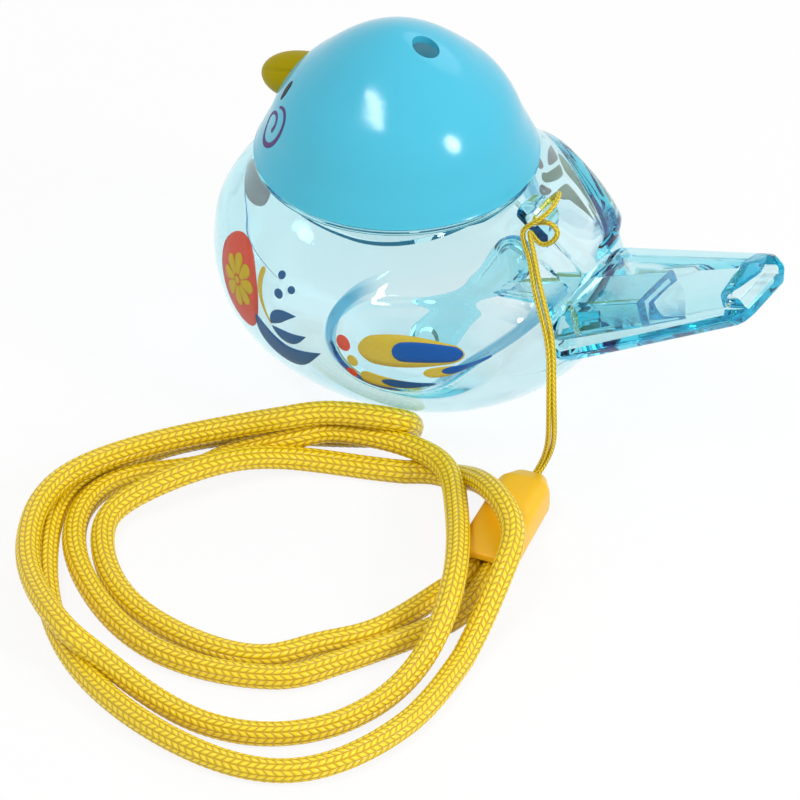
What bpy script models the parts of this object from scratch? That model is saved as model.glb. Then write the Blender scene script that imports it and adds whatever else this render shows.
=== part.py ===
# Bird water whistle with its neck cord, built in metres, +Z up, resting on z = 0.
# The beak points to -X, the tail mouthpiece to +X, the left wing to -Y.
import bpy
import bmesh
import math
import numpy as np
from mathutils import Vector

for old in list(bpy.data.objects):
    bpy.data.objects.remove(old, do_unlink=True)

MM = 0.001

# Driving sizes, in millimetres
RIM_Z = 40.5          # height of the head cap's lower rim
CAP_RADIUS = 23.0
CAP_WALL = 1.7
CAP_LIP = 2.1         # width of the cap's rim, thicker than its wall
HOLE_RADIUS = 2.25    # filling hole near the top of the cap
HOLE_X = 4.0
BELLY_Z = 23.0        # height of the widest ring of the body
BODY_MID_X = 4.4
BODY_FRONT = 34.5
BODY_REAR = 33.6
BODY_HALF_WIDTH = 29.7
BODY_WALL = 1.7
NECK_STEP = 1.3       # the neck stands this far inside the cap's rim
COLLAR_GAP = 1.4      # between the cap's rim and the collar it sits on
COLLAR_WALL = 1.6
COLLAR_HEIGHT = 2.7
NECK_RADIUS = CAP_RADIUS - NECK_STEP
COLLAR_RADIUS = CAP_RADIUS - CAP_LIP - COLLAR_GAP
COLLAR_BORE = COLLAR_RADIUS - COLLAR_WALL
COLLAR_TOP = RIM_Z + COLLAR_HEIGHT
WING_RAISE = 1.3
TAIL_ROOT = (34.5, 28.4)   # x, z where the tail's ridge leaves the back
TAIL_PITCH = 23.4
TAIL_LENGTH = 33.0
LIP_LENGTH = 2.5      # the tail's end rounds over in this length
MOUTH_HALF_WIDTH = 6.4
MOUTH_HEIGHT = 3.2
TUBE_RADIUS = 3.5
TUBE_BORE = 2.3
TUBE_TOP = (20.8, 26.8)
TUBE_END = (5.6, 4.5)
SEAM_GAP = 0.24
FIT = 0.3
THIN_CORD = 0.86
NECK_CORD = 3.8
CONNECTOR_MOUTH = (41.95, -47.41)
CONNECTOR_TOP = (37.93, -23.25)
CONNECTOR_HALF_WIDTH = 4.6
CONNECTOR_HALF_HEIGHT = 3.5

# Route of the neck cord, mm: out of the connector, three turns one way, a bend back, one turn home
NECK_ROUTE = [
    (39.9, -44.1, 3.5), (40.6, -49.6, 3.3), (38.9, -53.6, 2.3), (34.5, -66.9, 2.0), (28.6, -74.2, 2.0),
    (22.4, -81.1, 2.0), (5.1, -81.9, 2.0), (-7.9, -75.4, 2.0), (-14.8, -66.7, 2.2), (-15.6, -60.3, 3.0),
    (-8.8, -48.4, 4.8), (-1.0, -38.0, 3.4), (10.8, -31.8, 2.0), (17.6, -29.5, 2.0), (24.3, -26.8, 2.0),
    (36.8, -34.6, 9.3), (45.5, -42.8, 10.1), (48.2, -51.0, 8.0), (49.5, -64.2, 2.3), (50.1, -83.8, 2.0),
    (41.4, -101.7, 2.0), (22.4, -105.0, 2.0), (-3.3, -94.9, 2.0), (-19.5, -76.0, 2.0), (-25.0, -62.7, 2.0),
    (-23.8, -53.3, 2.0), (-14.6, -37.8, 2.0), (-1.3, -28.9, 2.0), (10.7, -22.4, 2.0), (13.7, -20.4, 2.6),
    (15.5, -22.4, 5.9), (14.4, -25.6, 8.6), (4.9, -29.9, 9.2), (-0.5, -33.6, 8.7), (-8.1, -37.5, 6.6),
    (-24.5, -59.7, 5.8), (-22.8, -75.6, 5.0), (-14.7, -86.7, 5.4), (-2.9, -95.2, 6.3), (2.5, -95.8, 4.4),
    (22.0, -99.1, 2.0), (39.0, -91.8, 2.0), (45.3, -73.8, 3.0), (43.5, -58.1, 8.6), (32.2, -37.3, 6.8),
    (21.9, -27.5, 5.6), (5.6, -29.0, 5.2), (1.1, -32.8, 5.0), (-7.9, -38.9, 2.0), (-10.6, -44.4, 2.0),
    (-19.9, -54.1, 2.0), (-19.5, -67.4, 2.0), (-9.1, -79.6, 2.0), (9.7, -87.9, 2.0), (27.8, -83.8, 2.0),
    (33.3, -77.0, 2.0), (43.5, -58.2, 2.0), (44.4, -50.6, 3.2), (43.3, -43.5, 3.5),
]

# Route of the thin cord, mm: up from the connector, through the lug, and back down beside itself
THIN_ROUTE = [
    (38.3, -24.6, 3.5), (38.2, -22.8, 3.6), (38.9, -21.0, 5.6), (40.2, -20.6, 9.5), (40.7, -20.9, 14.0),
    (40.1, -20.1, 18.8), (39.0, -18.3, 23.2), (37.0, -15.6, 27.2), (32.5, -11.2, 32.1), (29.2, -7.4, 34.9),
    (27.0, -4.6, 36.6),
    (28.3, -4.2, 34.9), (30.3, -4.0, 35.4), (31.2, -3.4, 37.4), (29.2, -2.9, 38.2), (26.8, -2.4, 37.1),
    (25.7, 0.0, 36.8), (25.9, 2.5, 37.3), (27.3, 2.8, 39.3), (28.9, 1.2, 41.1), (29.5, -1.2, 41.0),
    (28.9, -3.2, 39.8), (27.2, -4.3, 38.2), (25.8, -5.2, 36.6), (28.2, -7.9, 34.2), (31.4, -11.7, 31.4),
    (36.0, -16.2, 26.6), (38.1, -18.9, 22.5), (39.2, -20.9, 18.1), (39.7, -21.7, 13.6), (39.2, -21.6, 9.2),
    (38.0, -21.7, 5.4), (37.5, -22.9, 3.7), (37.5, -24.6, 3.5),
]


def curve_table(dz, front):
    heights = [0, 3, 5.3, 8, 10.5, 13.5, 17.5, 20]
    rear = [1, .97, .902, .785, .675, .554, .44, .40]
    fore = [1, .993, .98, .945, .90, .83, .73, .66]
    return float(np.interp(dz, heights, fore if front else rear))


def swell(z, front, power):
    """Share of the full size the body has at height z."""
    dz = z - BELLY_Z
    if dz >= 0:
        return curve_table(dz, front)
    return (1 - (-dz / (BELLY_Z + 0.35)) ** power) ** (1 / power)


def body_ring(z, inset, count):
    """One level ring of the body, inset sideways by the given amount."""
    fore = BODY_FRONT * swell(z, True, 2.45) - inset
    rear = BODY_REAR * swell(z, False, 2.1) - inset
    side = BODY_HALF_WIDTH * swell(z, True, 2.12) - inset
    points = []
    for i in range(count):
        a = 2 * math.pi * (i + 0.5) / count
        reach = rear if math.cos(a) > 0 else fore
        points.append((BODY_MID_X + reach * math.cos(a), side * math.sin(a), z))
    return points


def solid(name, rings):
    """Closed mesh from equal rings of points, bottom ring to top ring."""
    mesh = bpy.data.meshes.new(name)
    bm = bmesh.new()
    rows = [[bm.verts.new([c * MM for c in p]) for p in ring] for ring in rings]
    n = len(rows[0])
    for low, high in zip(rows, rows[1:]):
        for i in range(n):
            bm.faces.new((low[i], low[(i + 1) % n], high[(i + 1) % n], high[i]))
    bm.faces.new(list(reversed(rows[0])))
    bm.faces.new(rows[-1])
    bmesh.ops.recalc_face_normals(bm, faces=bm.faces)
    bmesh.ops.triangulate(bm, faces=bm.faces)
    bm.to_mesh(mesh)
    bm.free()
    obj = bpy.data.objects.new(name, mesh)
    bpy.context.collection.objects.link(obj)
    return obj


def revolve(name, profile, count=64):
    """Solid of revolution about Z from (radius, z) pairs, bottom to top."""
    rings = []
    for r, z in profile:
        ring = [2 * math.pi * (i + 0.5) / count for i in range(count)]
        rings.append([(r * math.cos(a), r * math.sin(a), z) for a in ring])
    return solid(name, rings)


def bar(name, start, end, radius, count=32, other=None):
    """Cylinder or cone between two points."""
    axis = (Vector(end) - Vector(start)).normalized()
    side = axis.cross(Vector((0, 1, 0) if abs(axis.y) < 0.9 else (1, 0, 0))).normalized()
    up = axis.cross(side)
    rings = []
    for base, r in ((start, radius), (end, radius if other is None else other)):
        turn = [2 * math.pi * i / count for i in range(count)]
        rings.append([Vector(base) + side * r * math.cos(a) + up * r * math.sin(a) for a in turn])
    return solid(name, rings)


def block(name, low, high):
    (x0, y0, z0), (x1, y1, z1) = low, high
    rings = [[(x0, y0, z), (x1, y0, z), (x1, y1, z), (x0, y1, z)] for z in (z0, z1)]
    return solid(name, rings)


def boolean(target, cutter, kind):
    """Applies one exact boolean and removes the cutter."""
    cutter.hide_render = True
    cutter.display_type = 'WIRE'
    mod = target.modifiers.new(kind.lower(), 'BOOLEAN')
    mod.operation = kind
    mod.solver = 'EXACT'
    mod.object = cutter
    with bpy.context.temp_override(object=target, active_object=target, selected_objects=[target]):
        bpy.ops.object.modifier_apply(modifier=mod.name)
    bpy.data.objects.remove(cutter, do_unlink=True)
    return target


def copy_of(obj, name):
    twin = obj.copy()
    twin.data = obj.data.copy()
    twin.name = name
    bpy.context.collection.objects.link(twin)
    return twin


pitch = math.radians(TAIL_PITCH)
ALONG = Vector((math.cos(pitch), 0, math.sin(pitch)))
UPWARD = Vector((-math.sin(pitch), 0, math.cos(pitch)))
ROOT = Vector((TAIL_ROOT[0], 0, TAIL_ROOT[1]))


def tail_point(s, y, n):
    return ROOT + ALONG * s + Vector((0, y, 0)) + UPWARD * n


def tail_section(s, inset=0.0):
    """Gabled flat section of the tail at distance s from its root."""
    half = 12 + (12 - max(s, 0)) * 0.18 - (0.5 if s < 0 else 0)
    floor = -(8.9 - 0.054 * s)
    lip = max(0.0, s - (TAIL_LENGTH - LIP_LENGTH)) / LIP_LENGTH
    half -= 2.4 * lip ** 2
    drop = 1.7 * lip ** 1.3
    shape = [(0, 0), (half - 3, -1.6), (half - 1, -2.8), (half, -4.5), (half, floor + 1.6), (half - 1.5, floor)]
    floor_lift = 0.7 * lip ** 2
    side = []
    for y, n in shape:
        if n > -2:
            n -= drop
        if n <= floor + 1.7:
            n += floor_lift
        side.append((max(y - inset * 1.1, 0.0), n - inset if n > -4.6 else n + inset * (1 if n < floor + 1 else 0)))
    low = (0, floor + floor_lift + inset)
    loop = side + [low] + [(-y, n) for y, n in reversed(side[1:])]
    return [tail_point(s, y, n) for y, n in loop]


# Outer solid of the clear body
levels = [0, 0.35, 1, 2.2, 4, 6.5, 9.5, 13, 16.5, 20, 23, 26, 28.3, 31, 33.5, 36.5, 39.0]
outer = solid('outer', [body_ring(z, 0, 48) for z in levels])
lip_start = TAIL_LENGTH - LIP_LENGTH
tail = solid('tail', [tail_section(s) for s in (
    -4, 0, 8, 16, 24, lip_start, lip_start + 0.44 * LIP_LENGTH, lip_start + 0.76 * LIP_LENGTH, TAIL_LENGTH)])
boolean(outer, tail, 'UNION')

# Wings: a teardrop prism kept to a skin just proud of the body
WING_OUTLINE = [
    (4.0, 24.0), (4.4, 27.6), (6.0, 30.6), (8.4, 32.9), (12.0, 34.4), (16.6, 34.8), (21.0, 34.2), (25.0, 33.2),
    (29.0, 31.4), (33.2, 29.2), (34.0, 28.0), (33.4, 26.6), (30.6, 24.4), (27.4, 22.2), (24.4, 19.2),
    (21.6, 16.6), (18.0, 15.3), (14.0, 15.2), (10.2, 16.2), (7.2, 18.0), (5.0, 20.6),
]
skin = solid('skin', [body_ring(z, -WING_RAISE, 48) for z in levels[3:]])
prism = solid('prism', [[(x, y, z) for x, z in WING_OUTLINE] for y in (-40.0, 40.0)])
boolean(prism, skin, 'INTERSECT')
boolean(outer, prism, 'UNION')

neck = revolve('neck', [
    (NECK_RADIUS, 30), (NECK_RADIUS, 39.35), (CAP_RADIUS - 0.2, 39.35), (CAP_RADIUS - 0.2, RIM_Z - 0.3),
    (COLLAR_RADIUS, RIM_Z - 0.3), (COLLAR_RADIUS, COLLAR_TOP),
], 72)
boolean(outer, neck, 'UNION')

# Lug for the thin cord: a disc in the middle plane with a foot into the back
LUG = Vector((25.8, 0, 36.6))
lug = bar('lug', LUG + Vector((0, -1.7, 0)), LUG + Vector((0, 1.7, 0)), 3.1, 32)
foot = block('foot', (22.4, -1.7, 30.5), (28.6, 1.7, 35.6))
boolean(lug, foot, 'UNION')
boolean(outer, lug, 'UNION')

# Hollow: the body's inside, the bore of the neck, the tail's duct and its mouth
inner_levels = [1.9, 2.6, 4, 6.5, 9.5, 13, 16.5, 20, 23, 26, 28.3, 31, 33.5, 37.4]
inner = solid('inner', [
    body_ring(z, BODY_WALL + 0.11 * max(0, z - BELLY_Z) + (1.2 if z < 2.5 else 0), 48) for z in inner_levels])
bore = revolve('bore', [(COLLAR_BORE, 33.0), (COLLAR_BORE, COLLAR_TOP + 1)], 72)
boolean(inner, bore, 'UNION')
boolean(outer, inner, 'DIFFERENCE')
duct = solid('duct', [tail_section(s, 1.8) for s in (3.4, 12, 20, TAIL_LENGTH - 3.6)])
boolean(outer, duct, 'DIFFERENCE')


def tail_box(name, s0, s1, y, n0, n1, taper=1.0):
    rings = []
    for s, k in ((s0, taper), (s1, 1.0)):
        rings.append([tail_point(s, y * k, n0), tail_point(s, -y * k, n0),
                      tail_point(s, -y * k, n1), tail_point(s, y * k, n1)])
    return solid(name, rings)


# Stations of the flat windway block: x, z, tilt of its top, share of the full width
WINDWAY = [(48.0, 28.8, TAIL_PITCH, 1.0), (40.6, 25.6, TAIL_PITCH, 1.0), (36.5, 23.9, 16.0, 1.0),
           (30.0, 22.4, 11.0, 0.85), (19.6, 20.6, 9.0, 0.5)]


def windway(name, stretch, grow, half, stations, thick=1.3):
    """Flat duct through the stations, widened by grow and pushed on by stretch at both ends."""
    rings = []
    for i, (x, z, tilt, share) in enumerate(stations):
        a = math.radians(tilt)
        push = stretch if i == 0 else -stretch if i == len(stations) - 1 else 0
        x += push
        z += push * math.sin(a)
        up = Vector((-math.sin(a), 0, math.cos(a))) * (thick + grow)
        c, w = Vector((x, 0, z)), Vector((0, half * share + grow, 0))
        rings.append([c + w - up, c - w - up, c - w + up, c + w + up])
    return solid(name, rings)


boolean(outer, tail_box('mouth', TAIL_LENGTH - 4.5, TAIL_LENGTH + 3, MOUTH_HALF_WIDTH, -1.95 - MOUTH_HEIGHT, -1.95), 'DIFFERENCE')
boolean(outer, windway('throat', 0.0, FIT, 6.0, WINDWAY[1:]), 'DIFFERENCE')
boolean(outer, bar('lug_hole', LUG + Vector((-0.1, -4, 0.2)), LUG + Vector((-0.1, 4, 0.2)), 1.2, 24), 'DIFFERENCE')

right = copy_of(outer, 'body_shell_right')
left = outer
left.name = 'body_shell_left'
FAR = 150             # past the whole whistle, for cutters
boolean(left, block('half_l', (-FAR, -FAR, -FAR), (FAR, -SEAM_GAP / 2, FAR)), 'INTERSECT')
boolean(right, block('half_r', (-FAR, SEAM_GAP / 2, -FAR), (FAR, FAR, FAR)), 'INTERSECT')

# Head cap: turned dome with a filling hole, a socket for the beak and a soft lower rim
cap_profile = [(0, 23.0), (0.35, 23.0), (2.5, 21.95), (5, 20.75), (7.5, 19.8), (10, 18.6), (12, 17.3), (14, 15.5),
               (16, 13.3), (18, 11.0), (19.6, 8.8), (21, 6.4), (22, 4.2), (22.7, 2.0), (22.9, 0.5)]
cap_profile = [(z, r * CAP_RADIUS / cap_profile[1][1]) for z, r in cap_profile]
cap = revolve('head_cap', [(r, RIM_Z + z) for z, r in cap_profile])
hollow = revolve('hollow', [(CAP_RADIUS - CAP_LIP, RIM_Z - 1)] + [
    (r - CAP_WALL - 0.02 * z, RIM_Z + z - (0 if z < 14 else CAP_WALL * (z - 14) / 9)) for z, r in cap_profile[1:-2]])
boolean(cap, hollow, 'DIFFERENCE')
boolean(cap, bar('fill', (HOLE_X, 0, RIM_Z + 10), (HOLE_X + 2.2, 0, RIM_Z + 30), HOLE_RADIUS, 32), 'DIFFERENCE')
BEAK_HEIGHT, BEAK_SINK = 8.3, 0.816     # over the rim; root inside the cap's face
cap_face = float(np.interp(BEAK_HEIGHT, [z for z, r in cap_profile], [r for z, r in cap_profile]))
BEAK = Vector((BEAK_SINK - cap_face, 0, RIM_Z + BEAK_HEIGHT))
BEAK_AXIS = Vector((-1, 0, -0.22)).normalized()
boolean(cap, bar('socket', BEAK - BEAK_AXIS * 6, BEAK + BEAK_AXIS * 6, 2.1, 24), 'DIFFERENCE')

# Beak: a blunt rounded cone that follows the cap's front, with a peg through the cap
beak_up = Vector((BEAK_AXIS.z, 0, -BEAK_AXIS.x))
beak_rings = []
for t in (0.02, 0.12, 0.25, 0.4, 0.55, 0.7, 0.82, 0.92, 0.98, 1.0):
    grow = math.sqrt(max(0.0, 1 - t ** 2.6)) + (0.04 if t == 1.0 else 0)
    centre = BEAK - BEAK_AXIS * 1.5 + BEAK_AXIS * 7.7 * t
    turn = [2 * math.pi * (i + 0.5) / 32 for i in range(32)]
    beak_rings.append([centre + Vector((0, 4.0 * grow * math.cos(a), 0)) + beak_up * 3.75 * grow * math.sin(a)
                       for a in turn])
beak = solid('beak', beak_rings)
clear = revolve('clear', [(r + 0.15, RIM_Z + z) for z, r in cap_profile[1:-2]])
boolean(beak, clear, 'DIFFERENCE')
boolean(beak, bar('peg', BEAK - BEAK_AXIS * 3.6, BEAK + BEAK_AXIS * 3.5, 1.8, 24), 'UNION')

# Whistle insert: closed tube that dips into the water, fed by a flat windway block from the tail
tube_axis = Vector((TUBE_END[0] - TUBE_TOP[0], 0, TUBE_END[1] - TUBE_TOP[1])).normalized()
tube_side = Vector((0, 1, 0))
tube_up = tube_axis.cross(tube_side)
top = Vector((TUBE_TOP[0], 0, TUBE_TOP[1]))
end = Vector((TUBE_END[0], 0, TUBE_END[1]))


def domed(name, radius, tip, far):
    rings = []
    for a in (6, 25, 45, 65, 90):
        a = math.radians(a)
        turn = [2 * math.pi * i / 32 for i in range(32)]
        c = tip - tube_axis * radius * math.cos(a)
        rings.append([c + tube_side * radius * math.sin(a) * math.cos(b) + tube_up * radius * math.sin(a) * math.sin(b)
                      for b in turn])
    turn = [2 * math.pi * i / 32 for i in range(32)]
    rings.append([far + tube_side * radius * math.cos(b) + tube_up * radius * math.sin(b) for b in turn])
    return solid(name, rings)


insert = domed('whistle_insert', TUBE_RADIUS, top, end)
boolean(insert, windway('windway', 0.0, 0.0, 6.0, WINDWAY), 'UNION')
boolean(insert, domed('tube_bore', TUBE_BORE, top + tube_axis * 0.4, end + tube_axis * 3), 'DIFFERENCE')
boolean(insert, windway('slit', 1.0, 0.0, 4.0, WINDWAY, 0.45), 'DIFFERENCE')
boolean(insert, block('window', (18.6, -1.7, 22.2), (25.5, 1.7, 24.6)), 'DIFFERENCE')

# Connector: flattened barrel with a pocket for both ends of the neck cord
mouth = Vector((*CONNECTOR_MOUTH, CONNECTOR_HALF_HEIGHT))
tip = Vector((*CONNECTOR_TOP, CONNECTOR_HALF_HEIGHT))
reach = (tip - mouth).length
way = (tip - mouth).normalized()
across = Vector((-way.y, way.x, 0))


def barrel(name, stations, count=40, power=2.6):
    rings = []
    for t, w, h in stations:
        ring = []
        for i in range(count):
            a = 2 * math.pi * (i + 0.5) / count
            c, s = math.cos(a), math.sin(a)
            ring.append(mouth + way * t + across * w * math.copysign(abs(c) ** (2 / power), c)
                        + Vector((0, 0, h * math.copysign(abs(s) ** (2 / power), s))))
        rings.append(ring)
    return solid(name, rings)


W, H = CONNECTOR_HALF_WIDTH, CONNECTOR_HALF_HEIGHT
connector = barrel('cord_connector', [
    (0, W - .35, H - .3), (.5, W, H), (reach - 4.2, W - .25, H), (reach - 2.2, W - .8, H - .35),
    (reach - .4, W - 1.8, H - 1.0), (reach, W - 2.2, H - 1.3)])
boolean(connector, barrel('pocket', [(-2, W - .55, 2.35), (5.2, W - .55, 2.35)]), 'DIFFERENCE')
boolean(connector, bar('eye', tip + way * 1, tip - way * 3.4, 1.25, 20), 'DIFFERENCE')


def smooth_path(route, count):
    """Natural cubic spline through the route points, sampled evenly in its own parameter."""
    p = np.array(route, float)
    t = np.concatenate([[0], np.cumsum(np.sqrt(np.linalg.norm(np.diff(p, axis=0), axis=1)))])
    n = len(p)
    h = np.diff(t)
    a = np.eye(n)
    b = np.zeros((n, 3))
    for i in range(1, n - 1):
        a[i, i - 1:i + 2] = h[i - 1], 2 * (h[i - 1] + h[i]), h[i]
        b[i] = 6 * ((p[i + 1] - p[i]) / h[i] - (p[i] - p[i - 1]) / h[i - 1])
    m = np.linalg.solve(a, b)
    out = []
    for u in np.linspace(0, t[-1], count):
        i = min(max(int(np.searchsorted(t, u)) - 1, 0), n - 2)
        l, r = t[i + 1] - u, u - t[i]
        q = (m[i] * l ** 3 + m[i + 1] * r ** 3) / (6 * h[i])
        q = q + (p[i] / h[i] - m[i] * h[i] / 6) * l + (p[i + 1] / h[i] - m[i + 1] * h[i] / 6) * r
        out.append(q)
    return out


def cord(name, route, diameter, count, resolution):
    data = bpy.data.curves.new(name, 'CURVE')
    data.dimensions = '3D'
    data.bevel_depth = diameter / 2 * MM
    data.bevel_resolution = resolution
    data.use_fill_caps = True
    spline = data.splines.new('POLY')
    points = smooth_path(route, count)
    spline.points.add(len(points) - 1)
    for slot, p in zip(spline.points, points):
        slot.co = (p[0] * MM, p[1] * MM, max(p[2], diameter / 2 + 0.02) * MM, 1)
    obj = bpy.data.objects.new(name, data)
    bpy.context.collection.objects.link(obj)
    return obj


neck_cord = cord('neck_cord', NECK_ROUTE, NECK_CORD, 80, 2)
thin_cord = cord('hanger_cord', THIN_ROUTE, THIN_CORD, 76, 2)


def linear(code):
    out = []
    for i in (0, 2, 4):
        c = int(code[i:i + 2], 16) / 255
        out.append(c / 12.92 if c <= 0.04045 else ((c + 0.055) / 1.055) ** 2.4)
    return (*out, 1)


def paint(obj, name, code, rough, clear=0.0):
    mat = bpy.data.materials.new(name)
    mat.use_nodes = True
    bsdf = mat.node_tree.nodes['Principled BSDF']
    bsdf.inputs['Base Color'].default_value = linear(code)
    bsdf.inputs['Roughness'].default_value = rough
    bsdf.inputs['Transmission Weight'].default_value = clear
    obj.data.materials.clear()
    obj.data.materials.append(mat)


paint(left, 'body_left_clear_blue', 'B9E4F0', 0.06, 0.9)
paint(right, 'body_right_clear_blue', 'B9E4F1', 0.06, 0.9)
paint(insert, 'insert_clear_blue', 'B4E0EE', 0.06, 0.9)
paint(cap, 'cap_turquoise', '5BC8E2', 0.3)
paint(beak, 'beak_mustard', 'A99A12', 0.32)
paint(connector, 'connector_amber', 'F0A818', 0.35)
paint(neck_cord, 'neck_cord_yellow', 'E8BC1C', 0.5)
paint(thin_cord, 'thin_cord_yellow', 'DDBF22', 0.5)

# Centre the whistle on x = 0; the belly already rests on z = 0
solids = [left, right, cap, beak, insert, connector]
low = min((o.matrix_world @ Vector(c)).x for o in solids[:5] for c in o.bound_box)
high = max((o.matrix_world @ Vector(c)).x for o in solids[:5] for c in o.bound_box)
shift = -(low + high) / 2
for o in solids:
    for v in o.data.vertices:
        v.co.x += shift
    for face in o.data.polygons:
        face.use_smooth = False
for o in (neck_cord, thin_cord):
    for p in o.data.splines[0].points:
        p.co.x += shift
print('shift', round(shift, 6))
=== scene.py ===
import math

import bpy
import bmesh
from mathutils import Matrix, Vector
from mathutils.bvhtree import BVHTree


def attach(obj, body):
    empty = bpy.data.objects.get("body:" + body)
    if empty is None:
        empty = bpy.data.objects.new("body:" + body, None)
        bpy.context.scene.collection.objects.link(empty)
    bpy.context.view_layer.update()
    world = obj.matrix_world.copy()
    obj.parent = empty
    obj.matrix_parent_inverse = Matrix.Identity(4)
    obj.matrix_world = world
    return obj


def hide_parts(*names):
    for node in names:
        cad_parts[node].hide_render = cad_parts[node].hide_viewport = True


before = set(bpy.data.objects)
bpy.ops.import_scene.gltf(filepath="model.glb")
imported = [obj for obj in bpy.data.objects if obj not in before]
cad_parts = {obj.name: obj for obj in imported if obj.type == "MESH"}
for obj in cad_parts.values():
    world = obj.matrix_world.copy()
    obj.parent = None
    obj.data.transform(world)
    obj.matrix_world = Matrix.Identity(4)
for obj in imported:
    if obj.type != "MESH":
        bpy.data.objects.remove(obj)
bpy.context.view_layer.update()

MM = 0.001
SHIFT = -18.654  # moves the whistle's drawing, whose zero is the neck's axis, to the middle of its box
RIM_Z = 40.5  # height of the cap's rim


def at(x, y, z):
    """Point of the drawing, in millimetres, as a point of the frame, in metres."""
    return Vector(((x + SHIFT) * MM, y * MM, z * MM))


def clamp(value):
    return max(0.0, min(1.0, value))


def deselect():
    if bpy.context.object and bpy.context.object.mode != "OBJECT":
        bpy.ops.object.mode_set(mode="OBJECT")
    bpy.ops.object.select_all(action="DESELECT")


def pick(obj):
    deselect()
    obj.select_set(True)
    bpy.context.view_layer.objects.active = obj


def apply_all(obj):
    pick(obj)
    for mod in list(obj.modifiers):
        bpy.ops.object.modifier_apply(modifier=mod.name)


def settle(obj):
    """Moves an object's place, turn and size into its mesh."""
    pick(obj)
    bpy.ops.object.transform_apply(location=True, rotation=True, scale=True)


def boolean(target, tool, kind):
    """Joins or cuts the target with a tool, which is then thrown away."""
    settle(tool)
    pick(target)
    mod = target.modifiers.new(kind, "BOOLEAN")
    mod.operation = kind
    mod.solver = "EXACT"
    mod.object = tool
    bpy.ops.object.modifier_apply(modifier=mod.name)
    bpy.data.objects.remove(tool, do_unlink=True)


def smooth(obj, angle):
    """Smooth shading, with edges sharper than angle, in degrees, left crisp."""
    pick(obj)
    bpy.ops.object.shade_smooth_by_angle(angle=math.radians(angle))


def flat_faces(obj):
    """Keeps large flat faces flat beside their rounded edges."""
    mod = obj.modifiers.new("flat faces", "WEIGHTED_NORMAL")
    mod.keep_sharp = True
    apply_all(obj)


def finish_piece(obj, name, material, slot, *nodes):
    """Names a piece, gives it its material, hangs it on the root and hides the parts it stands for."""
    settle(obj)
    obj.name = name
    obj.data.name = name
    obj.data.materials.clear()
    obj.data.materials.append(material)
    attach(obj, "root")
    if nodes:
        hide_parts(*nodes)
    return obj


def spline(xs, ys):
    """Natural cubic spline through the points, as a function."""
    n = len(xs)
    gaps = [b - a for a, b in zip(xs, xs[1:])]
    bend = [0.0] * n
    c, d = [0.0] * n, [0.0] * n
    for i in range(1, n - 1):
        k = 2 * (gaps[i - 1] + gaps[i]) - gaps[i - 1] * c[i - 1]
        c[i] = gaps[i] / k
        r = 6 * ((ys[i + 1] - ys[i]) / gaps[i] - (ys[i] - ys[i - 1]) / gaps[i - 1])
        d[i] = (r - gaps[i - 1] * d[i - 1]) / k
    for i in range(n - 2, 0, -1):
        bend[i] = d[i] - c[i] * bend[i + 1]

    def value(x):
        i = 0
        while i < n - 2 and x > xs[i + 1]:
            i += 1
        left, right, gap = xs[i + 1] - x, x - xs[i], gaps[i]
        return ((bend[i] * left ** 3 + bend[i + 1] * right ** 3) / (6 * gap)
                + (ys[i] / gap - bend[i] * gap / 6) * left
                + (ys[i + 1] / gap - bend[i + 1] * gap / 6) * right)
    return value


# Camera, light, floor

def place_camera():
    """Long lens at 1.1 m, 30 degrees round and 36.5 degrees up, as the photograph was taken."""
    azimuth, elevation = math.radians(30), math.radians(36.5)
    distance, focal = 1100.0, 6886.0  # mm, and pixels of a picture this wide
    picture, film = 800, 36
    rim_across, rim_down = 397, 149.5  # where the middle of the cap's rim lies in the picture
    back = Vector((math.sin(azimuth) * math.cos(elevation), -math.cos(azimuth) * math.cos(elevation),
                   math.sin(elevation)))
    right = Vector((math.cos(azimuth), math.sin(azimuth), 0))
    up = back.cross(right)
    per_pixel = distance / focal
    middle = picture / 2
    eye = (Vector((0, 0, RIM_Z)) + back * distance - right * (rim_across - middle) * per_pixel
           + up * (rim_down - middle) * per_pixel)
    cam = bpy.data.cameras.new("camera")
    cam.sensor_width = film
    cam.lens = focal / picture * film
    cam.clip_start, cam.clip_end = 0.05, 20
    obj = bpy.data.objects.new("camera", cam)
    bpy.context.collection.objects.link(obj)
    obj.location = at(*eye)
    obj.rotation_mode = "QUATERNION"
    obj.rotation_quaternion = (-back).to_track_quat("-Z", "Y")
    bpy.context.scene.camera = obj


place_camera()
scene = bpy.context.scene
scene.view_settings.view_transform = "Standard"
# Light crosses many clear walls before it leaves the whistle
WALL_CROSSINGS = 40
scene.cycles.max_bounces = WALL_CROSSINGS
scene.cycles.transmission_bounces = WALL_CROSSINGS
scene.cycles.glossy_bounces = WALL_CROSSINGS
scene.cycles.transparent_max_bounces = 24


def lin(code):
    """sRGB hex colour as linear RGBA."""
    out = []
    for i in (0, 2, 4):
        c = int(code[i:i + 2], 16) / 255
        out.append(c / 12.92 if c <= 0.04045 else ((c + 0.055) / 1.055) ** 2.4)
    return (*out, 1)


def node(tree, kind, links=(), **settings):
    """Adds a node, sets its properties, and links its inputs or gives them plain values."""
    n = tree.nodes.new(kind)
    for key, value in settings.items():
        setattr(n, key, value)
    for key, value in dict(links).items():
        if isinstance(value, bpy.types.NodeSocket):
            tree.links.new(value, n.inputs[key])
        else:
            n.inputs[key].default_value = value
    return n


def new_material(name):
    mat = bpy.data.materials.new(name)
    mat.use_nodes = True
    tree = mat.node_tree
    tree.nodes.clear()
    out = tree.nodes.new("ShaderNodeOutputMaterial")
    return mat, tree, out


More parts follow.
